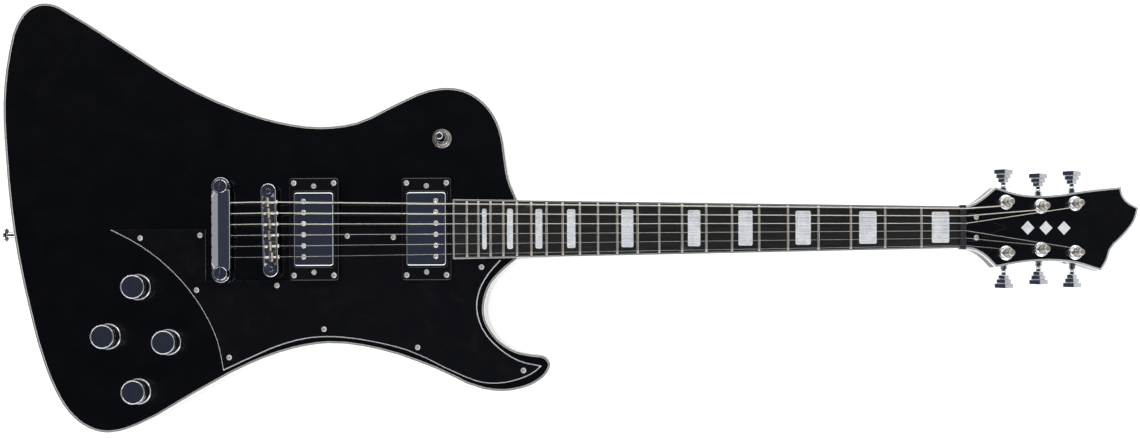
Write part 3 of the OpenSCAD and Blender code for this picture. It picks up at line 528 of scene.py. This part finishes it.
for place in ("bridge", "neck"):
    ring, cover = f"{place}_pickup_ring", f"{place}_pickup_cover"
    rounded_rims(ring, f"{ring}_rounded", "ring", [(top_of(ring), 30, 0.9, 3)])
    rounded_rims(cover, f"{place}_pickup_shell", "chrome", [(top_of(cover), 30, 1.5, 5)])
    dress(f"{place}_pickup_coils", "coil", 0.3)
dress("height_screws", "screw", 0.15)
dress("saddle_screws", "nickel", 0.15)


def make_pole_screws():
    """Slotted screws with the rim of every head rounded to a dome."""
    rim_step, slack = 1, 0.01
    work = clean_copy("pole_screws")
    heads = [edge for edge in work.edges if steep(edge) and reach(edge) < rim_step
             and middle(edge).z > BODY_TOP and edge.calc_face_angle_signed(0) > 0
             and abs(edge.verts[0].co.z - edge.verts[1].co.z) / MM < slack]
    round_over(work, heads, 0.6)
    swap(work, "pole_screws_domed", "pole_screws", "screw")


def make_tailpiece():
    """Stop bar with a rounded ridge, a rounded edge towards the pickups and rounded lugs."""
    bar_edge, lug_start, shoulder_drop = 30, 37, 3.7
    work = clean_copy("tailpiece")
    low, high = (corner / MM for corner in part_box("tailpiece"))
    shoulder = high.z - shoulder_drop
    ridge = [edge for edge in work.edges if on_level(edge, high.z) and reach(edge) > bar_edge]
    round_over(work, ridge, 2.4, 5)
    front = [edge for edge in work.edges if steep(edge) and on_level(edge, shoulder)
             and reach(edge) > bar_edge and middle(edge).x > (low.x + high.x) / 2]
    round_over(work, front, 1.1, 4)
    lugs = [edge for edge in work.edges if steep(edge) and on_level(edge, shoulder)
            and reach(edge) < ROUND_STEP and abs(middle(edge).y) > lug_start]
    round_over(work, lugs, 0.6)
    swap(work, "tailpiece_rounded", "tailpiece", "chrome")


def make_studs():
    """Slotted studs with the round part of each head's rim rounded."""
    work = clean_copy("tailpiece_studs")
    top = top_of("tailpiece_studs")
    rims = [edge for edge in work.edges if steep(edge) and on_level(edge, top)
            and reach(edge) < ROUND_STEP]
    round_over(work, rims, 0.8)
    swap(work, "tailpiece_studs_rounded", "tailpiece_studs", "chrome")


make_pole_screws()
rounded_rims("bridge_base", "bridge_base_rounded", "chrome",
             [(top_of("bridge_base"), 70, 0.9, 3)])
dress("bridge_posts", "chrome", 0.3)
make_tailpiece()
make_studs()
for number in range(1, STRINGS + 1):
    dress(f"saddle_{number}", "brass", 0.2)
dress("wound_strings", "wound", 0)
dress("plain_strings", "plain", 0)


# ---------- controls ----------

def make_knob(node):
    """Turned metal knob: flanged foot, two grooves and a bright rolled rim, on its shaft."""
    centre = Vector(joints[f"{node}_turn"]["pos_m"]) / MM
    low, high = (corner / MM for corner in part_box(node))
    shaft_end = low.z - KNOB_FOOT
    top = high.z - KNOB_FOOT
    shaft = [(0, shaft_end), (2.7, shaft_end), (3, shaft_end + 0.3), (3, 5.9), (8.6, 5.9)]
    skirt = [(8.6, 0.4), (8.9, 0), (11.7, 0), (12, 0.3), (12, 1.85), (11.93, 1.95), (11.5, 1.98),
             (11.4, 2.5), (11.38, 3.4), (11.1, 3.6), (11.1, 3.9), (11.36, 4.1), (11.2, 12.2),
             (10.9, 12.4), (10.9, 12.7), (11.15, 12.9)]
    rim = [(11.1, top - 0.9), (11, top - 0.45), (10.85, top - 0.15), (10.6, top), (10.4, top),
           (10.2, top - 0.1), (10.05, top - 0.35), (9.9, top - 0.45)]
    face = [(4.5, top - 0.4), (4.3, top - 0.52), (4.1, top - 0.4), (0, top - 0.36)]
    place = Matrix.Translation(Vector((centre.x, centre.y, KNOB_FOOT)) * MM)
    work = bmesh.new()
    lathe(work, shaft + skirt + rim + face, place, 96)
    bmesh.ops.recalc_face_normals(work, faces=work.faces)
    swap(work, f"{node}_turned", node, "chrome", body=node)


for name in ("knob_upper", "knob_left", "knob_right", "knob_lower"):
    make_knob(name)
dress("pots", "steel", 0.25)


def make_toggle():
    """Switch with a sloped washer, a rounded nut and a rounded outer rim on its bushing."""
    bore_rim = 5
    centre = Vector(joints["toggle_tilt"]["pos_m"]) / MM
    work = clean_copy("toggle_switch")
    for level, width in ((1.2, 0.9), (3, 1.4), (3.5, 0.45)):
        rims = [edge for edge in work.edges if steep(edge) and on_level(edge, BODY_TOP + level)
                and reach(edge) < ROUND_STEP and (middle(edge) - centre).to_2d().length > bore_rim]
        round_over(work, rims, width)
    swap(work, "toggle_switch_rounded", "toggle_switch", "switch")


def make_toggle_lever():
    """Turned lever with a flat-topped metal cap, on the pin that it tilts about."""
    upright = Matrix.Translation(Vector(joints["toggle_tilt"]["pos_m"]))
    across = upright @ Matrix.Rotation(math.pi / 2, 4, "Y")
    stem = [(0, -12), (1.2, -12), (1.2, -1.8), (2.1, -0.5), (2.1, 0.5), (1.5, 1.7), (1.5, 11.8)]
    cap = [(2.1, 12), (3, 20.2), (3.4, 20.7), (3.4, 23), (3.3, 23.5), (3.1, 23.85), (2.8, 24.1),
           (2.5, 24.2), (2.2, 24.22), (0, 24.24)]
    pin = [(0, -5.5), (0.9, -5.5), (1, -5.4), (1, 5.4), (0.9, 5.5), (0, 5.5)]
    work = bmesh.new()
    lathe(work, stem + cap, upright, 48)
    lathe(work, pin, across, 24)
    bmesh.ops.recalc_face_normals(work, faces=work.faces)
    swap(work, "toggle_lever_turned", "toggle_lever", "chrome", body="toggle_lever")


make_toggle()
make_toggle_lever()


# ---------- tuners ----------

def head_axes(side):
    lean = Matrix.Rotation(HEAD_LEAN, 3, "Y")
    return side * lean.col[0], side * lean.col[1], lean.col[2].copy()


def add_tier(work, place, start, end, half, thick):
    """One step of a key, with a ridge along its middle and a slightly bowed end."""
    slope, bow = math.tan(math.radians(12)), 0.5
    edge = thick - half * slope
    outline = [(-half, -edge), (0, -thick), (half, -edge), (half, edge), (0, thick), (-half, edge)]
    near = [work.verts.new(place @ (Vector((x, start, z)) * MM)) for x, z in outline]
    far = [work.verts.new(place @ (Vector((x, end - bow * abs(x) / half, z)) * MM)) for x, z in outline]
    for i in range(len(outline)):
        j = (i + 1) % len(outline)
        work.faces.new((near[i], near[j], far[j], far[i]))
    work.faces.new((near[3], near[4], near[1], near[2]))
    work.faces.new((near[4], near[5], near[0], near[1]))
    work.faces.new((far[2], far[1], far[4], far[3]))
    work.faces.new((far[1], far[0], far[5], far[4]))


def make_key(number):
    """Stepped tuner button of three tiers on a collared shaft."""
    joint = joints[f"key_{number}_turn"]
    axis = Vector(joint["axis"])
    side = 1 if axis.y > 0 else -1
    place = frame_at(Vector(joint["pos_m"]) / MM - KEY_JOINT_REACH * axis, *head_axes(side))
    spindle = place @ Matrix.Rotation(-math.pi / 2, 4, "X")
    shaft = [(0, -5), (1.8, -5), (2, -4.8), (2, 15.4), (2.8, 15.4), (3, 15.6), (3, 16.6), (2.6, 17),
             (2.6, 17.4), (3, 17.8), (3, 20), (2.7, 20.4), (0, 20.4)]
    work = bmesh.new()
    for tier in ((20, 24, 5.25, 2.1), (23.7, 28, 7.25, 2.7), (27.7, 32.7, 9.4, 3.3)):
        add_tier(work, place, *tier)
    bmesh.ops.recalc_face_normals(work, faces=work.faces)
    round_over(work, [edge for edge in work.edges if steep(edge, 20)], 0.45, 2)
    lathe(work, shaft, spindle, 32)
    bmesh.ops.recalc_face_normals(work, faces=work.faces)
    swap(work, f"key_{number}_button", f"key_{number}", "chrome", body=f"key_{number}")


def nut_shape(turn, radius, height):
    """Cuts the middle part of a bushing's profile to a hexagon."""
    foot, crown, dish, corner = 1.45, 3.95, 4.4, 5.9
    if foot < height < crown and radius > dish:
        return min(radius, hexagon(corner, turn))
    return radius


def make_bushings():
    """Round washers under hexagon nuts whose tops are turned to a dished cone."""
    barrel = [(3.06, -9), (4.6, -9), (4.6, 0)]
    washer = [(6.6, 0), (6.9, 0.25), (6.88, 0.85), (6.6, 1.2), (5.95, 1.35)]
    nut = [(5.9, 1.5), (5.9, 2.9), (5.7, 3.4), (5.2, 3.75), (4.7, 3.9), (4.3, 3.95)]
    dish = [(3.9, 3.8), (3.45, 3.3), (3.06, 3.1), (3.06, -9)]
    work = bmesh.new()
    for number in range(1, STRINGS + 1):
        joint = joints[f"post_{number}_turn"]
        side = 1 if joint["pos_m"][1] > 0 else -1
        place = frame_at(Vector(joint["pos_m"]) / MM, *head_axes(side))
        lathe(work, barrel + washer + nut + dish, place, 72, nut_shape)
    bmesh.ops.remove_doubles(work, verts=work.verts, dist=1e-7)
    bmesh.ops.recalc_face_normals(work, faces=work.faces)
    swap(work, "tuner_bushings_turned", "tuner_bushings", "chrome")


for number in range(1, STRINGS + 1):
    make_key(number)
    dress(f"post_{number}", "post", 0.2)
dress("tuner_housings", "chrome", 0.7, 3)
make_bushings()


# ---------- floor, light and camera ----------

def make_floor():
    """Pale sheet just below the body, which shines a little so that it stays white."""
    half_size, centre_x, level = 40.0, 0.28, -0.0003
    work = bmesh.new()
    corners = ((-1, -1), (1, -1), (1, 1), (-1, 1))
    work.faces.new([work.verts.new((x * half_size + centre_x, y * half_size, level)) for x, y in corners])
    mesh = mesh_from(work, "floor", False)
    made = bpy.data.objects.new("floor", mesh)
    bpy.context.scene.collection.objects.link(made)
    paper = Finish("paper", Specular_IOR_Level=0.1)
    tone = paper.noise(3, 3)
    paper.put("Base Color", paper.ramp(tone, (0.3, (0.86, 0.86, 0.86)), (0.7, (0.88, 0.88, 0.88))))
    paper.put("Roughness", paper.spread(tone, 0.8, 0.9))
    paper.put("Emission Color", paper.ramp(tone, (0.3, (0.98, 0.98, 0.98)), (0.7, (1.0, 1.0, 1.0))))
    paper.shader.inputs["Emission Strength"].default_value = 0.8
    mesh.materials.append(paper.material)


def make_world():
    """Bright walls below a dark ceiling, dimmer on the left."""
    world = bpy.data.worlds.new("studio")
    bpy.context.scene.world = world
    world.use_nodes = True
    tree = world.node_tree
    direction = tree.nodes.new("ShaderNodeTexCoord").outputs["Generated"]
    split = tree.nodes.new("ShaderNodeSeparateXYZ")
    tree.links.new(direction, split.inputs["Vector"])
    ramp = tree.nodes.new("ShaderNodeValToRGB")
    tree.links.new(split.outputs["Z"], ramp.inputs["Fac"])
    set_stops(ramp.color_ramp.elements, [
        (0.0, (0.92, 0.92, 0.92)), (0.35, (0.86, 0.88, 0.92)), (0.55, (0.5, 0.51, 0.53)),
        (0.66, (0.17, 0.17, 0.18)), (0.74, (0.048, 0.053, 0.074)), (1.0, (0.038, 0.045, 0.071))])
    background = tree.nodes["Background"]
    tree.links.new(ramp.outputs["Color"], background.inputs["Color"])
    side = tree.nodes.new("ShaderNodeMapRange")
    tree.links.new(split.outputs["X"], side.inputs["Value"])
    for socket, value in (("From Min", -0.75), ("From Max", 0.1), ("To Min", 0.42), ("To Max", 1.0)):
        side.inputs[socket].default_value = value
    tree.links.new(side.outputs["Result"], background.inputs["Strength"])


def make_lamp(name, place):
    """Long soft lamp that points at the middle of the guitar."""
    target = Vector((0.25, 0, 0))
    data = bpy.data.lights.new(name, "AREA")
    data.shape = "RECTANGLE"
    data.size, data.size_y = 6.0, 1.2
    data.energy = 64
    made = bpy.data.objects.new(name, data)
    bpy.context.scene.collection.objects.link(made)
    made.location = place
    made.rotation_euler = (target - Vector(place)).to_track_quat("-Z", "Y").to_euler()


def make_camera():
    """Camera square to the fretboard, with the photo's distance, roll and framing."""
    distance, roll = 1200, 0.0038
    aim_x, aim_y, level_at_board_end = 279.8, -74.7, 54.1
    picture_width, shift_right, shift_up = 1140, -9.8, 91
    data = bpy.data.cameras.new("camera")
    data.sensor_width = 36
    data.lens = 41.35
    data.shift_x = shift_right / picture_width
    data.shift_y = shift_up / picture_width
    data.clip_start, data.clip_end = 0.05, 50
    made = bpy.data.objects.new("camera", data)
    bpy.context.scene.collection.objects.link(made)
    normal = Vector((math.sin(BOARD_LEAN), 0, math.cos(BOARD_LEAN)))
    across = Vector((math.cos(BOARD_LEAN), 0, -math.sin(BOARD_LEAN)))
    side = Vector((0, 1, 0))
    right = (across - roll * side).normalized()
    up = (side + roll * across).normalized()
    aim_z = level_at_board_end - (aim_x - BOARD_ORIGIN.x) * math.tan(BOARD_LEAN)
    aim = Vector((aim_x, aim_y, aim_z))
    made.matrix_world = frame_at(aim + distance * normal, right, up, normal)
    bpy.context.scene.camera = made


make_floor()
make_world()
make_lamp("key_light", (0.2, 2.15, 2.2))
make_lamp("fill_light", (0.3, -2.15, 2.2))
make_camera()
bpy.context.scene.view_settings.view_transform = "Standard"
